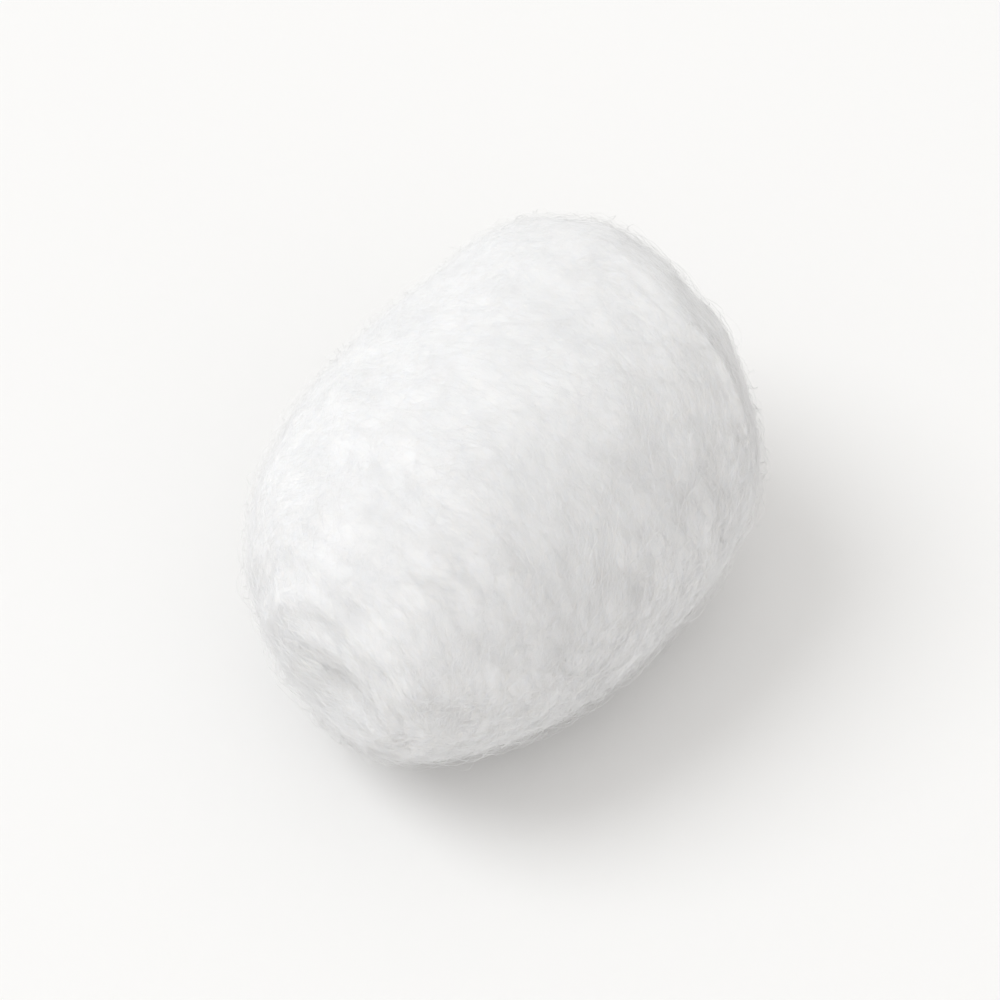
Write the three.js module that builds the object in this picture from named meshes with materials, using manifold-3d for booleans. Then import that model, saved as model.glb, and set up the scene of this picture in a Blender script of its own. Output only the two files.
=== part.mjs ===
// A rolled cotton ball: one strip of cotton wool wound into a short, soft barrel.
// It lies on its side with the axis of the roll along X, and the middle of its flat spot is the origin.
// Millimetres, +Z up.

import * as THREE from 'three';
import { mergeVertices } from 'three/addons/utils/BufferGeometryUtils.js';
import Module from 'manifold-3d';

const wasm = await Module();
wasm.setup();

// Driving dimensions
const rollLength = 45; // end to end, along X
const rollDiameter = 31; // at the fullest part
const turnCount = 4; // turns of the strip, from the middle to the outside

// The barrel, worked out from them
const halfLength = rollLength / 2;
const radius = rollDiameter / 2;
const layerPitch = radius / turnCount; // distance from one turn of the strip to the next
const sideSpread = 1.03; // the roll lies a little wide ...
const heightSag = 0.97; // ... and a little low

// Each end: how far the plain barrel reaches before its middle is tucked in, how square its shoulder is
// (2 is an ellipsoid), and how much it narrows, as a share of the radius
const gatheredEnd = { reach: 1.006 * halfLength, shoulder: 2.6, narrowing: 0.09 }; // the -X end
const fullEnd = { reach: 0.963 * halfLength, shoulder: 3.15, narrowing: - 0.015 }; // the +X end
const endSkew = 0.22; // both end faces slant, wound a little askew: the shift along for each step across

// The ends, where the layers are tucked in
const dimpleDepth = 0.24 * radius;
const dimpleRadius = 0.24 * radius;
const grooveDepth = 0.026 * radius; // between one turn and the next, on the end face
const grooveSharpness = 1.6; // higher is a narrower groove between fatter layers
const swirlInner = 0.08 * radius; // the swirl fades in from here ...
const swirlOuter = 0.74 * radius; // ... and out to here
const tuckCount = 6; // gathered folds round each rim
const tuckDepth = 0.012 * radius;

// The strip's outer end, a soft step along the barrel
const tailAngle = THREE.MathUtils.degToRad( 128 ); // round from the top, towards +Y and down
const tailStep = 0.2 * layerPitch;
const tailSoftness = THREE.MathUtils.degToRad( 24 ); // the step is felted down over this angle

// The flat spot that the ball rests on
const flatSink = 0.078 * radius; // how far the round form would reach below the surface
const flatBlend = 0.055 * radius; // how softly the side turns into the flat
const flatOverlap = 0.05; // what the cut takes off, so that the flat is a true plane

// Mesh steps
const ringsAlong = 64;
const stepsAround = 56;

// Soft lumps: height in mm, waves along the ball, waves round it, and where each wave starts
const lumps = [
	{ height: 0.22, along: 1.5, around: 2, start: 3.4 },
	{ height: 0.16, along: 2.5, around: 3, start: 5.1 },
	{ height: 0.28, along: 3.5, around: 1, start: 4 },
	{ height: 0.12, along: 1, around: 4, start: 1.3 },
];

// The soft step that the strip's outer end leaves: it climbs slowly through one turn, then drops at the tail
function windingRise( angle ) {

	const turn = THREE.MathUtils.euclideanModulo( angle - tailAngle, 2 * Math.PI );
	const drop = THREE.MathUtils.smoothstep( turn, 0, tailSoftness );
	const climb = turn / ( 2 * Math.PI );
	return tailStep * ( drop * ( climb - 1 ) + 0.5 );

}

function lumpRise( along, angle ) {

	const pressed = THREE.MathUtils.smoothstep( - Math.cos( angle ), 0.3, 0.9 ); // smooth under its own weight
	let rise = 0;
	for ( const lump of lumps ) {

		rise += lump.height * Math.sin( lump.along * Math.PI * along + lump.around * angle + lump.start );

	}

	return rise * ( 1 - pressed );

}

// How far the end face lies in from the plain barrel, at a distance from the axis
function endTuck( distance, angle ) {

	const dimple = dimpleDepth * Math.exp( - ( ( distance / dimpleRadius ) ** 2 ) );
	const turn = distance / layerPitch - ( angle - tailAngle ) / ( 2 * Math.PI );
	const groove = ( 0.5 + 0.5 * Math.cos( 2 * Math.PI * turn ) ) ** grooveSharpness;
	const fadeIn = THREE.MathUtils.smoothstep( distance, swirlInner, 3 * swirlInner );
	const fadeOut = 1 - THREE.MathUtils.smoothstep( distance, 0.5 * swirlOuter, swirlOuter );
	const tucks = tuckDepth * Math.cos( tuckCount * angle + 3 * turn ) * fadeIn * fadeOut;
	return dimple + grooveDepth * groove * fadeIn * fadeOut + tucks;

}

// Keeps what is above the floor where it is, and lays what would be below it just under the floor
function layDown( height ) {

	const floor = - flatOverlap;
	const near = Math.max( 0, 1 - Math.abs( height - floor ) / flatBlend );
	return Math.max( height, floor ) + flatBlend * near * near / 4;

}

// One point of the surface: along runs from 0 at the -X pole to 1 at the +X pole, and angle goes round
// from the top, towards +Y
function surfacePoint( along, angle ) {

	const sweep = Math.PI * along;
	const end = - Math.cos( sweep );
	const toFull = THREE.MathUtils.smoothstep( end, - 0.5, 0.5 );
	const power = 2 / THREE.MathUtils.lerp( gatheredEnd.shoulder, fullEnd.shoulder, toFull );
	const slim = 1 - gatheredEnd.narrowing * THREE.MathUtils.smoothstep( - end, - 0.2, 1 )
		- fullEnd.narrowing * THREE.MathUtils.smoothstep( end, - 0.2, 1 );
	const open = Math.sin( sweep ) ** power;
	const distance = open * ( radius * slim + windingRise( angle ) + lumpRise( along, angle ) );
	const side = Math.sign( end );
	const tuck = endTuck( distance, angle ) * Math.abs( end ) ** 3;
	const reach = side < 0 ? gatheredEnd.reach : fullEnd.reach;
	const y = sideSpread * distance * Math.sin( angle );
	const x = side * ( reach * Math.abs( end ) ** power - tuck ) + endSkew * y * Math.abs( end ) ** 1.5;
	const z = heightSag * distance * Math.cos( angle );
	const middle = heightSag * radius - flatSink;
	return new THREE.Vector3( x, y, layDown( z + middle ) );

}

// The whole skin, closed by one point at each pole
function rollGeometry() {

	const positions = [];
	const faces = [];
	for ( let ring = 1; ring < ringsAlong; ring ++ ) {

		for ( let step = 0; step < stepsAround; step ++ ) {

			positions.push( ...surfacePoint( ring / ringsAlong, 2 * Math.PI * step / stepsAround ) );

		}

	}

	const firstPole = positions.length / 3;
	positions.push( ...surfacePoint( 0, 0 ), ...surfacePoint( 1, 0 ) );
	const corner = ( ring, step ) => ( ring - 1 ) * stepsAround + step % stepsAround;
	const middleRing = ringsAlong / 2;
	for ( let step = 0; step < stepsAround; step ++ ) {

		faces.push( firstPole, corner( 1, step ), corner( 1, step + 1 ) );
		faces.push( firstPole + 1, corner( ringsAlong - 1, step + 1 ), corner( ringsAlong - 1, step ) );
		for ( let ring = 1; ring < ringsAlong - 1; ring ++ ) {

			const near = corner( ring, step );
			const nearNext = corner( ring, step + 1 );
			const far = corner( ring + 1, step );
			const farNext = corner( ring + 1, step + 1 );

			// the diagonal of each cell runs with the swirl, outwards as the angle grows
			if ( ring < middleRing ) faces.push( near, farNext, nearNext, near, far, farNext );
			else faces.push( near, far, nearNext, nearNext, far, farNext );

		}

	}

	const geometry = new THREE.BufferGeometry();
	geometry.setAttribute( 'position', new THREE.Float32BufferAttribute( positions, 3 ) );
	geometry.setIndex( faces );
	return geometry;

}

function toSolid( geometry ) {

	const bare = geometry.clone();
	bare.deleteAttribute( 'normal' );
	bare.deleteAttribute( 'uv' );
	const merged = mergeVertices( bare );
	return new wasm.Manifold( new wasm.Mesh( {
		numProp: 3,
		vertProperties: new Float32Array( merged.attributes.position.array ),
		triVerts: new Uint32Array( merged.index.array ),
	} ) );

}

function toGeometry( solid ) {

	const mesh = solid.getMesh();
	const geometry = new THREE.BufferGeometry();
	geometry.setAttribute( 'position', new THREE.BufferAttribute( mesh.vertProperties, 3 ) );
	geometry.setIndex( new THREE.BufferAttribute( mesh.triVerts, 1 ) );
	geometry.computeVertexNormals();
	return geometry;

}

// All that is below the surface the ball lies on
function belowFloor() {

	const block = new THREE.BoxGeometry( 2 * rollLength, 2 * rollDiameter, rollDiameter );
	block.translate( 0, 0, - rollDiameter / 2 );
	return block;

}

const cottonWool = new THREE.MeshStandardMaterial( { color: 0xf4f3f1, roughness: 1, metalness: 0 } );
const rested = toSolid( rollGeometry() ).subtract( toSolid( belowFloor() ) );
const ball = new THREE.Mesh( toGeometry( rested ), cottonWool );
ball.name = 'cotton_ball';

const cottonBall = new THREE.Group();
cottonBall.add( ball );

export default cottonBall;
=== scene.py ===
import math

import bpy
import numpy as np
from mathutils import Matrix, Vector
from mathutils.bvhtree import BVHTree


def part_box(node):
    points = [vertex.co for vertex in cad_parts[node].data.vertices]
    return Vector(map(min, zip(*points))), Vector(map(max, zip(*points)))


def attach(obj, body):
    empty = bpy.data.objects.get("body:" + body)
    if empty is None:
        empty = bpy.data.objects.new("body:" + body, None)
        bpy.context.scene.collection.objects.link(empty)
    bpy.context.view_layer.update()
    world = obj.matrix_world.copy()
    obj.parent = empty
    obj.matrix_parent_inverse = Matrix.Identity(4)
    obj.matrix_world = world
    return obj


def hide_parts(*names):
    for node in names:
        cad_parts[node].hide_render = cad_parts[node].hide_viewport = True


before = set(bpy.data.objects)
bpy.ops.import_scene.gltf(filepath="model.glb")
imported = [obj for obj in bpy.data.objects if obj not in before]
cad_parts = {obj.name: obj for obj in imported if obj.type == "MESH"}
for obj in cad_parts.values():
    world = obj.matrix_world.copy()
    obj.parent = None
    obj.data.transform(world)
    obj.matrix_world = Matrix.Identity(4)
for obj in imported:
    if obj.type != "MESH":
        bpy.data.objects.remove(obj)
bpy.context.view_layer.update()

mm = 0.001
ballLow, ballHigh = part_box("cotton_ball")
ballSize = ballHigh - ballLow
ballMiddle = (ballLow + ballHigh) / 2


def deselectAll():
    bpy.ops.object.select_all(action="DESELECT")


# ---- camera, floor and light

view = {
    "azimuth": -52,        # degrees round from the side of the roll
    "elevation": 51,
    "distance": 0.5,
    "lens": 235,
    "aimSide": 0.0,        # how far the aim is moved across and up the picture
    "aimUp": -0.0005,
}

studio = {
    "floorColour": (0.875, 0.872, 0.868),
    "floorSize": 40.0,
    "airColour": (1.0, 0.988, 0.97),
    "airStrength": 0.81,
    "keyPlace": (-150, 55),    # azimuth and elevation of the big soft light
    "keySize": 2.5,
    "keyPower": 60,
    "keyColour": (0.965, 0.985, 1.0),
    "fillPlace": (-20, 30),
    "fillSize": 4.0,
    "fillPower": 9,
    "fillColour": (1.0, 0.985, 0.965),
    "reach": 4.0,              # how far off both lights are
}


def directionOf(azimuth, elevation):
    bearing, rise = math.radians(azimuth), math.radians(elevation)
    return Vector((math.sin(bearing) * math.cos(rise), -math.cos(bearing) * math.cos(rise), math.sin(rise)))


def makeCamera():
    out = directionOf(view["azimuth"], view["elevation"])
    turn = out.to_track_quat("Z", "Y")
    aim = ballMiddle + turn @ Vector((view["aimSide"], view["aimUp"], 0))
    bpy.ops.object.camera_add(location=aim + out * view["distance"])
    camera = bpy.context.object
    camera.name = "bench_camera"
    camera.rotation_mode = "QUATERNION"
    camera.rotation_quaternion = turn
    camera.data.lens = view["lens"]
    camera.data.clip_start = 0.01
    bpy.context.scene.camera = camera


def plainMaterial(name, colour, roughness):
    material = bpy.data.materials.new(name)
    material.use_nodes = True
    shader = material.node_tree.nodes["Principled BSDF"]
    shader.inputs["Base Color"].default_value = (*colour, 1)
    shader.inputs["Roughness"].default_value = roughness
    shader.inputs["Specular IOR Level"].default_value = 0.1
    return material


def makeLight(name, place, size, power, colour):
    out = directionOf(*place)
    bpy.ops.object.light_add(type="AREA", location=ballMiddle + out * studio["reach"])
    light = bpy.context.object
    light.name = name
    light.rotation_mode = "QUATERNION"
    light.rotation_quaternion = out.to_track_quat("Z", "Y")
    light.data.shape = "DISK"
    light.data.size = size
    light.data.energy = power
    light.data.color = colour


def makeStudio():
    deselectAll()
    bpy.ops.mesh.primitive_plane_add(size=studio["floorSize"], location=(0, 0, 0))
    floor = bpy.context.object
    floor.name = "floor"
    floor.data.materials.append(plainMaterial("paleFloor", studio["floorColour"], 0.9))
    makeLight("key_light", studio["keyPlace"], studio["keySize"], studio["keyPower"], studio["keyColour"])
    makeLight("fill_light", studio["fillPlace"], studio["fillSize"], studio["fillPower"], studio["fillColour"])
    world = bpy.data.worlds.new("studioAir")
    bpy.context.scene.world = world
    world.use_nodes = True
    air = world.node_tree.nodes["Background"]
    air.inputs["Color"].default_value = (*studio["airColour"], 1)
    air.inputs["Strength"].default_value = studio["airStrength"]
    bpy.context.scene.view_settings.view_transform = "Standard"


makeCamera()
makeStudio()
print("camera and studio ready")


# ---- the roll: a soft barrel of wound cotton wool

roll = {
    "segments": 180,           # mesh steps round, doubled once the form stands
    "rings": 134,              # mesh steps from end to end
    "girth": 0.958,            # radius as a share of half the width it lies with
    "skew": 0.22,              # both end faces slant, this far along for each step across
    "sideSpread": 1.03,
    "heightSag": 0.97,
    "sink": 0.078,             # shares of the radius from here on
    "blend": 0.055,
    "turns": 4,
    "tail": 128,               # degrees round from the top to the strip's outer edge
    "tailStep": 0.05,
    "tailSoftness": 24,
}

# each end: how far the barrel reaches, how square its shoulder is, how much it narrows, and its dimple
ends = {
    -1: {"reach": 1.004, "shoulder": 2.6, "narrowing": 0.09, "dimple": 0.13, "width": 0.25,
         "aside": (-0.12, -0.02), "groove": 0.019, "swirl": 0.66},
    1: {"reach": 0.961, "shoulder": 3.15, "narrowing": -0.015, "dimple": 0.13, "width": 0.26,
        "aside": (0.06, 0.04), "groove": 0.024, "swirl": 0.76},
}

# soft lumps: height in mm, waves along the ball, waves round it, and where each wave starts
lumps = [(0.22, 1.5, 2, 3.4), (0.16, 2.5, 3, 5.1), (0.28, 3.5, 1, 4.0), (0.12, 1.0, 4, 1.3)]

# clumps and wisps: height, size across the winding and size along it, all in mm
clumps = [(0.40, 6.5, 9.0), (0.12, 3.0, 6.0), (0.028, 1.3, 3.4), (0.010, 0.6, 1.8)]
endLumps = (0.28, 4.2)         # height and size of the puffs on both end faces, in mm


def smooth(value, low, high):
    share = np.clip((value - low) / (high - low), 0, 1)
    return share * share * (3 - 2 * share)


def unit(vectors):
    return vectors / np.maximum(np.linalg.norm(vectors, axis=1, keepdims=True), 1e-12)


def softNoise(places, seed):
    # gradient noise, about -1 to 1, one cell to a unit
    random = np.random.default_rng(seed)
    order = random.permutation(256)
    slopes = unit(random.normal(size=(256, 3)))
    cell = np.floor(places).astype(np.int64)
    inside = places - cell
    fade = inside ** 3 * (inside * (inside * 6 - 15) + 10)
    total = np.zeros(len(places))
    for corner in np.ndindex(2, 2, 2):
        step = np.array(corner)
        at = (cell + step) & 255
        pick = order[(order[(order[at[:, 0]] + at[:, 1]) & 255] + at[:, 2]) & 255]
        weight = np.prod(np.where(step, fade, 1 - fade), axis=1)
        total += weight * np.sum(slopes[pick] * (inside - step), axis=1)
    return 1.6 * total


def placesOf(mesh):
    found = np.empty(len(mesh.vertices) * 3)
    mesh.vertices.foreach_get("co", found)
    return found.reshape(-1, 3)


def movePoints(mesh, places):
    mesh.vertices.foreach_set("co", places.ravel())
    mesh.update()


def windingRise(angle):
    # climbs slowly through one turn, then drops at the strip's outer edge
    turn = np.mod(angle - math.radians(roll["tail"]), 2 * math.pi)
    drop = smooth(turn, 0, math.radians(roll["tailSoftness"]))
    return roll["tailStep"] * (drop * (turn / (2 * math.pi) - 1) + 0.5)


def endTuck(across, up, end):
    # how far the end face lies in from the plain barrel, all in shares of the radius, and how much painted shade its
    # dimple and grooves get
    across = across - end["aside"][0]
    up = up - end["aside"][1]
    share = np.hypot(across, up)
    angle = np.arctan2(across, up)
    waver = softNoise(np.stack([across * 2.6, up * 2.6, np.full_like(up, end["reach"])], 1), 5)
    turn = share * roll["turns"] - (angle - math.radians(roll["tail"])) / (2 * math.pi) + 0.32 * waver
    groove = (0.5 + 0.5 * np.cos(2 * math.pi * turn)) ** 1.2
    fade = smooth(share, 0.07, 0.22) * (1 - smooth(share, 0.5 * end["swirl"], end["swirl"]))
    dimple = np.exp(-(share / end["width"]) ** 2)
    # the second value is the weight of painted shade: full in the dimple, about half in the grooves
    return end["dimple"] * dimple + end["groove"] * groove * fade * (1 + 0.7 * waver), dimple + groove * fade * 0.5


def makeRoll():
    deselectAll()
    bpy.ops.mesh.primitive_uv_sphere_add(
        segments=roll["segments"], ring_count=roll["rings"], radius=1, rotation=(0, math.radians(90), 0))
    ball = bpy.context.object
    ball.name = "cotton_roll"
    bpy.ops.object.transform_apply(location=False, rotation=True, scale=True)
    mesh = ball.data
    start = placesOf(mesh)

    radius = roll["girth"] * ballSize.y / 2
    halfLength = ballSize.x / 2
    end = np.clip(start[:, 0], -1, 1)
    angle = np.arctan2(start[:, 1], start[:, 2])
    along = np.arccos(-end) / math.pi
    near, far = ends[-1], ends[1]
    toFar = smooth(end, -0.5, 0.5)
    power = 2 / (near["shoulder"] + (far["shoulder"] - near["shoulder"]) * toFar)
    slim = 1 - near["narrowing"] * smooth(-end, -0.2, 1) - far["narrowing"] * smooth(end, -0.2, 1)
    openness = np.sqrt(np.clip(1 - end * end, 0, 1)) ** power
    pressed = smooth(-np.cos(angle), 0.3, 0.9)

    rise = np.zeros(len(start))
    for height, alongWaves, aroundWaves, begin in lumps:
        rise += height * mm * np.sin(alongWaves * math.pi * along + aroundWaves * angle + begin)
    distance = openness * (radius * (slim + windingRise(angle)) + rise * (1 - pressed))
    y = roll["sideSpread"] * distance * np.sin(angle)

    x = np.zeros(len(start))
    hollowShade = np.zeros(len(start))
    for side, shape in ends.items():
        here = np.sign(end) == side
        tuck, endShade = endTuck(distance * np.sin(angle) / radius, distance * np.cos(angle) / radius, shape)
        inwards = np.abs(end) ** 3
        reach = side * (shape["reach"] * halfLength * np.abs(end) ** power - radius * tuck * inwards)
        reach += roll["skew"] * y * np.abs(end) ** 1.5
        x = np.where(here, reach, x)
        # painted shade for the end dimples and grooves, kept per point
        hollowShade = np.where(here, endShade * inwards, hollowShade)
    z = roll["heightSag"] * (distance * np.cos(angle) + radius) - roll["sink"] * radius
    blend = roll["blend"] * radius
    low = np.clip(1 - np.abs(z) / blend, 0, 1)
    z = np.maximum(z, 0) + blend * low * low / 4
    movePoints(mesh, np.stack([x, y, z], 1))

    arc = along * 62 * mm  # from pole to pole over the skin
    winding = np.stack([arc, distance * np.cos(angle), distance * np.sin(angle)], 1)
    mesh.attributes.new("windingPlace", "FLOAT_VECTOR", "POINT").data.foreach_set("vector", winding.ravel())
    # carries the painted shade weight to the material
    mesh.attributes.new("hollowShade", "FLOAT", "POINT").data.foreach_set("value", hollowShade)
    return ball


def refine(ball):
    deselectAll()
    ball.select_set(True)
    bpy.context.view_layer.objects.active = ball
    finer = ball.modifiers.new("finer", "SUBSURF")
    finer.levels = finer.render_levels = 1
    bpy.ops.object.modifier_apply(modifier=finer.name)
    bpy.ops.object.shade_smooth()


def teaseOut(ball):
    # pulls the skin into clumps and wisps that run round the roll
    mesh = ball.data
    places = placesOf(mesh)
    winding = np.empty(len(places) * 3)
    mesh.attributes["windingPlace"].data.foreach_get("vector", winding)
    winding = winding.reshape(-1, 3) / mm
    normals = np.empty(len(places) * 3)
    mesh.vertices.foreach_get("normal", normals)
    normals = normals.reshape(-1, 3)
    wander = softNoise(winding / 9.0, 71)
    soft = np.zeros(len(places))
    for seed, (height, across, length) in enumerate(clumps):
        scale = np.array([1 / across, 1 / length, 1 / length])
        shifted = winding * scale
        shifted[:, 0] += 0.9 * wander * 5 / across
        soft += height * mm * softNoise(shifted, 90 + seed)
    height, size = endLumps
    endWise = smooth(np.abs(normals[:, 0]), 0.0, 1.0)
    soft += height * mm * endWise * softNoise(places / (size * mm), 97)
    pressed = smooth(-normals[:, 2], 0.3, 0.9)
    places = places + normals * (soft * (1 - 0.9 * pressed))[:, None]
    places[:, 2] = np.maximum(places[:, 2], 0)
    movePoints(mesh, places)


cottonRoll = makeRoll()
refine(cottonRoll)
teaseOut(cottonRoll)
print("roll shaped,", len(cottonRoll.data.polygons), "faces")


# ---- cotton: one node group for its tone, used by the roll and by every fibre

def makeCottonTone():
    group = bpy.data.node_groups.new("cottonTone", "ShaderNodeTree")
    for name, kind in (("Place", "NodeSocketVector"), ("Stretch", "NodeSocketVector"), ("ShadeAmount", "NodeSocketFloat"),
                       ("Bright", "NodeSocketColor"), ("Shaded", "NodeSocketColor"), ("ShadeColour", "NodeSocketColor")):
        group.interface.new_socket(name=name, in_out="INPUT", socket_type=kind)
    group.interface.new_socket(name="Colour", in_out="OUTPUT", socket_type="NodeSocketColor")
    group.interface.new_socket(name="Streaks", in_out="OUTPUT", socket_type="NodeSocketFloat")
    nodes, links = group.nodes, group.links
    given = nodes.new("NodeGroupInput")
    out = nodes.new("NodeGroupOutput")
    stretch = nodes.new("ShaderNodeVectorMath")
    stretch.operation = "MULTIPLY"
    links.new(given.outputs["Place"], stretch.inputs[0])
    links.new(given.outputs["Stretch"], stretch.inputs[1])
    streaks = nodes.new("ShaderNodeTexNoise")
    streaks.inputs["Scale"].default_value = 1.0
    streaks.inputs["Detail"].default_value = 6
    streaks.inputs["Roughness"].default_value = 0.62
    streaks.inputs["Distortion"].default_value = 0.8
    links.new(stretch.outputs["Vector"], streaks.inputs["Vector"])
    tone = nodes.new("ShaderNodeMix")
    tone.data_type = "RGBA"
    links.new(streaks.outputs["Fac"], tone.inputs["Factor"])
    links.new(given.outputs["Shaded"], tone.inputs["A"])
    links.new(given.outputs["Bright"], tone.inputs["B"])
    # mixes a darker warm colour in as painted shade where the shade amount is set
    shadeMix = nodes.new("ShaderNodeMix")
    shadeMix.data_type = "RGBA"
    links.new(given.outputs["ShadeAmount"], shadeMix.inputs["Factor"])
    links.new(tone.outputs["Result"], shadeMix.inputs["A"])
    links.new(given.outputs["ShadeColour"], shadeMix.inputs["B"])
    links.new(shadeMix.outputs["Result"], out.inputs["Colour"])
    links.new(streaks.outputs["Fac"], out.inputs["Streaks"])
    return group


cottonTone = makeCottonTone()

cottonLook = {
    "bright": (0.965, 0.965, 0.97, 1),
    "shaded": (0.935, 0.935, 0.94, 1),
    # painted shade for the end dimples and grooves, tinted warm: its colour and how much of it is mixed in
    "paintedShadeColour": (0.87, 0.845, 0.81, 1),
    "paintedShadeShare": 0.4,
    "stretch": (2600, 420, 420),    # cells to a metre, across and along the winding
    "relief": 0.00010,
    "fibreBright": (0.98, 0.98, 0.985, 1),
    "fibreShaded": (0.89, 0.89, 0.895, 1),
}


def attributeNode(nodes, name):
    node = nodes.new("ShaderNodeAttribute")
    node.attribute_name = name
    return node


def addTone(material, place, stretch, bright, shaded, roughness):
    nodes, links = material.node_tree.nodes, material.node_tree.links
    shader = nodes["Principled BSDF"]
    tone = nodes.new("ShaderNodeGroup")
    tone.node_tree = cottonTone
    tone.inputs["Stretch"].default_value = stretch
    tone.inputs["Bright"].default_value = bright
    tone.inputs["Shaded"].default_value = shaded
    # the painted shade colour; only the roll sets a shade amount, so the fibres get none
    tone.inputs["ShadeColour"].default_value = cottonLook["paintedShadeColour"]
    links.new(attributeNode(nodes, place).outputs["Vector"], tone.inputs["Place"])
    links.new(tone.outputs["Colour"], shader.inputs["Base Color"])
    dullness = nodes.new("ShaderNodeMapRange")
    dullness.inputs["To Min"].default_value, dullness.inputs["To Max"].default_value = roughness
    links.new(tone.outputs["Streaks"], dullness.inputs["Value"])
    links.new(dullness.outputs["Result"], shader.inputs["Roughness"])
    return tone


def cottonWoolMaterial():
    material = bpy.data.materials.new("cottonWool")
    material.use_nodes = True
    nodes, links = material.node_tree.nodes, material.node_tree.links
    shader = nodes["Principled BSDF"]
    shader.inputs["Specular IOR Level"].default_value = 0.1
    shader.inputs["Subsurface Weight"].default_value = 0.7
    shader.inputs["Subsurface Radius"].default_value = (1.0, 0.95, 0.88)
    shader.inputs["Subsurface Scale"].default_value = 0.002
    tone = addTone(material, "windingPlace", cottonLook["stretch"], cottonLook["bright"], cottonLook["shaded"],
                   (0.88, 1.0))
    # painted shade in the end dimples and grooves, weighted by the roll's attribute
    hollowShade = nodes.new("ShaderNodeMath")
    hollowShade.operation = "MULTIPLY"
    hollowShade.inputs[1].default_value = cottonLook["paintedShadeShare"]
    links.new(attributeNode(nodes, "hollowShade").outputs["Fac"], hollowShade.inputs[0])
    links.new(hollowShade.outputs["Value"], tone.inputs["ShadeAmount"])
    bump = nodes.new("ShaderNodeBump")
    bump.inputs["Distance"].default_value = cottonLook["relief"]
    bump.inputs["Strength"].default_value = 0.4
    links.new(tone.outputs["Streaks"], bump.inputs["Height"])
    links.new(bump.outputs["Normal"], shader.inputs["Normal"])
    return material


def cottonFibreMaterial():
    material = bpy.data.materials.new("cottonFibre")
    material.use_nodes = True
    material.node_tree.nodes["Principled BSDF"].inputs["Specular IOR Level"].default_value = 0.2
    addTone(material, "strandPlace", (1, 1, 1), cottonLook["fibreBright"], cottonLook["fibreShaded"], (0.7, 0.95))
    return material


cottonRoll.data.materials.append(cottonWoolMaterial())
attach(cottonRoll, "root")
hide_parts("cotton_ball")


# ---- fibres that lie on the roll and stand off it

# lengths, thickness and heights in mm, angles in degrees; a thread has points * 6 - 12 faces
fibreKinds = {
    "wound_fibres": {
        "count": 6300, "seed": 11, "points": 6, "length": (5, 12), "thickness": 0.026,
        "spread": 11, "flow": 30, "wander": 5, "sunk": 0.02, "lift": (0.01, 0.14), "stand": 0.0,
    },
    "strayed_fibres": {
        "count": 6300, "seed": 19, "points": 6, "length": (4, 10), "thickness": 0.024,
        "spread": 30, "flow": 30, "wander": 10, "sunk": 0.03, "lift": (0.03, 0.28), "stand": 0.0,
    },
    "crossing_fibres": {
        "count": 10500, "seed": 23, "points": 5, "length": (2.5, 6.0), "thickness": 0.021,
        "spread": 60, "flow": 20, "wander": 20, "sunk": 0.03, "lift": (0.04, 0.45), "stand": 0.0,
    },
    "downy_fibres": {
        "count": 6300, "seed": 31, "points": 5, "length": (1.2, 4.0), "thickness": 0.018,
        "spread": 90, "flow": 0, "wander": 26, "sunk": 0.05, "lift": (0.15, 0.80), "stand": 0.25,
    },
    "fuzz_fibres": {
        "count": 6300, "seed": 37, "points": 7, "length": (3.0, 8.5), "thickness": 0.016,
        "spread": 80, "flow": 0, "wander": 16, "sunk": 0.05, "lift": (0.10, 1.10), "stand": 0.35,
    },
}


def scatter(mesh, count, random):
    # even over the skin, whatever the size of its faces
    mesh.calc_loop_triangles()
    corners = np.empty(len(mesh.loop_triangles) * 3, np.int32)
    mesh.loop_triangles.foreach_get("vertices", corners)
    corners = corners.reshape(-1, 3)
    places = placesOf(mesh)
    a, b, c = (places[corners[:, i]] for i in range(3))
    area = np.linalg.norm(np.cross(b - a, c - a), axis=1)
    picked = random.choice(len(corners), count, p=area / area.sum())
    u, v = random.random(count), random.random(count)
    over = u + v > 1
    u[over], v[over] = 1 - u[over], 1 - v[over]
    return a[picked] + u[:, None] * (b - a)[picked] + v[:, None] * (c - a)[picked]


def onSkin(places):
    found = [skin.find_nearest(Vector(place)) for place in places]
    return np.array([f[0] for f in found]), np.array([f[1] for f in found])


def trackFibres(kind, random):
    # spines that creep over the skin: mostly round the roll, turned here and there by the flow of the clumps
    count, points = kind["count"], kind["points"]
    step = random.uniform(*kind["length"], count) * mm / (points - 1)
    heading = np.radians(random.normal(0, kind["spread"], count))
    low, high = kind["lift"]
    lift = (low + (high - low) * random.random(count) ** 2) * mm  # most lie low
    stand = np.abs(random.normal(0, kind["stand"], count)) * mm
    spine = np.empty((points, count, 3))
    skinNormals = np.empty((points, count, 3))
    here, normal = onSkin(scatter(cottonRoll.data, count, random))
    for k in range(points):
        share = k / (points - 1)
        rise = lift * math.sin(math.pi * share) + stand * share ** 1.4 - kind["sunk"] * mm
        spine[k] = here + normal * rise[:, None]
        skinNormals[k] = normal
        fromAxis = here - np.array([0, 0, ballMiddle.z])
        fromAxis[:, 0] = 0
        around = np.cross(np.array([1.0, 0, 0]), fromAxis)
        around = unit(around - normal * np.sum(around * normal, axis=1, keepdims=True))
        across = np.cross(normal, around)
        heading = heading + np.radians(random.normal(0, kind["wander"], count))
        turned = heading + math.radians(kind["flow"]) * softNoise(here / (6 * mm), 7)
        forward = around * np.cos(turned)[:, None] + across * np.sin(turned)[:, None]
        here, normal = onSkin(here + forward * step[:, None])
    spine[:, :, 2] = np.maximum(spine[:, :, 2], 0.03 * mm)
    return spine, skinNormals


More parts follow.
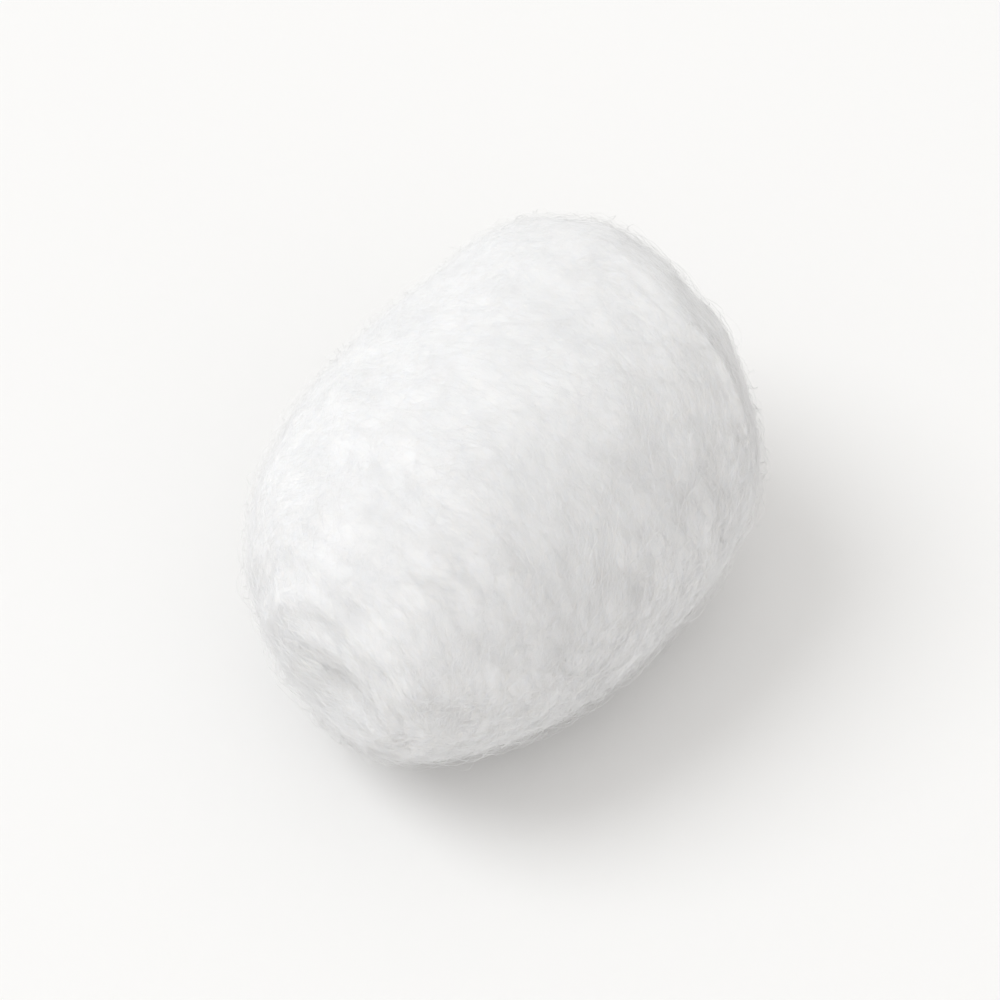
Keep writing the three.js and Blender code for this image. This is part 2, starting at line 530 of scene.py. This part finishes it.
def threadFaces(points):
    # a three-sided thread, drawn to a point at both ends
    last = 3 * (points - 2) + 1
    faces = []
    for corner in range(3):
        after = (corner + 1) % 3
        faces.append((0, 1 + corner, 1 + after))
        faces.append((last, last - 3 + after, last - 3 + corner))
        for ring in range(points - 3):
            low, high = 1 + 3 * ring, 4 + 3 * ring
            faces.append((low + corner, high + after, low + after))
            faces.append((low + corner, high + corner, high + after))
    return np.array(faces), last + 1


def makeFibres(name, kind, material):
    random = np.random.default_rng(kind["seed"])
    spine, skinNormals = trackFibres(kind, random)
    count, points = kind["count"], kind["points"]
    faces, size = threadFaces(points)
    verts = np.empty((count, size, 3))
    normals = np.empty((count, size, 3))
    shares = np.empty(size)
    verts[:, 0], verts[:, -1] = spine[0], spine[-1]
    normals[:, 0], normals[:, -1] = skinNormals[0], skinNormals[-1]
    shares[0], shares[-1] = 0, 1
    thick = kind["thickness"] / 2 * mm * random.uniform(0.6, 1.3, count)
    for k in range(1, points - 1):
        ahead = unit(spine[k + 1] - spine[k - 1])
        sideways = unit(np.cross(ahead, skinNormals[k]))
        upwards = np.cross(sideways, ahead)
        for corner in range(3):
            bearing = 2 * math.pi * corner / 3 + math.pi / 2
            off = sideways * math.cos(bearing) + upwards * math.sin(bearing)
            at = 1 + 3 * (k - 1) + corner
            verts[:, at] = spine[k] + off * thick[:, None]
            normals[:, at] = skinNormals[k] + 0.8 * off
            shares[at] = k / (points - 1)
    allFaces = (faces[None] + size * np.arange(count)[:, None, None]).reshape(-1, 3)

    mesh = bpy.data.meshes.new(name)
    mesh.vertices.add(count * size)
    mesh.vertices.foreach_set("co", verts.ravel())
    mesh.loops.add(allFaces.size)
    mesh.loops.foreach_set("vertex_index", allFaces.ravel().astype(np.int32))
    mesh.polygons.add(len(allFaces))
    mesh.polygons.foreach_set("loop_start", np.arange(0, allFaces.size, 3, dtype=np.int32))
    mesh.update(calc_edges=True)
    mesh.shade_smooth()
    mesh.normals_split_custom_set_from_vertices(unit(normals.reshape(-1, 3)))

    strand = np.empty((count, size, 3))
    strand[:, :, 0] = shares[None] * 1.5
    strand[:, :, 1] = random.uniform(0, 50, count)[:, None]
    strand[:, :, 2] = random.uniform(0, 50, count)[:, None]
    mesh.attributes.new("strandPlace", "FLOAT_VECTOR", "POINT").data.foreach_set("vector", strand.ravel())

    # every thread has its own small place on the map
    cells = math.ceil(math.sqrt(count))
    column, row = np.arange(count) % cells, np.arange(count) // cells
    sides = np.tile(np.arange(3).repeat(2 * (points - 2)), 1)
    mapPlaces = np.empty((count, len(faces), 3, 2))
    for f, face in enumerate(faces):
        side = f // (2 * (points - 2))
        for c, at in enumerate(face):
            ring = 0 if at == 0 else (points - 1 if at == size - 1 else (at - 1) // 3 + 1)
            corner = side + 0.5 if at in (0, size - 1) else side + (0 if (at - 1) % 3 == side else 1)
            mapPlaces[:, f, c, 0] = (column + 0.08 + 0.84 * ring / (points - 1)) / cells
            mapPlaces[:, f, c, 1] = (row + 0.08 + 0.84 * corner / 3) / cells
    mesh.uv_layers.new(name="OFBake").uv.foreach_set("vector", mapPlaces.ravel())

    mesh.materials.append(material)
    piece = bpy.data.objects.new(name, mesh)
    bpy.context.scene.collection.objects.link(piece)
    piece.visible_shadow = False  # coarser than real cotton, so shadows would be too strong
    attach(piece, "root")
    print(name, count, "fibres,", len(allFaces), "triangles")
    return piece


skin = BVHTree.FromPolygons([v.co for v in cottonRoll.data.vertices], [p.vertices for p in cottonRoll.data.polygons])
cottonFibre = cottonFibreMaterial()
for name, kind in fibreKinds.items():
    makeFibres(name, kind, cottonFibre)
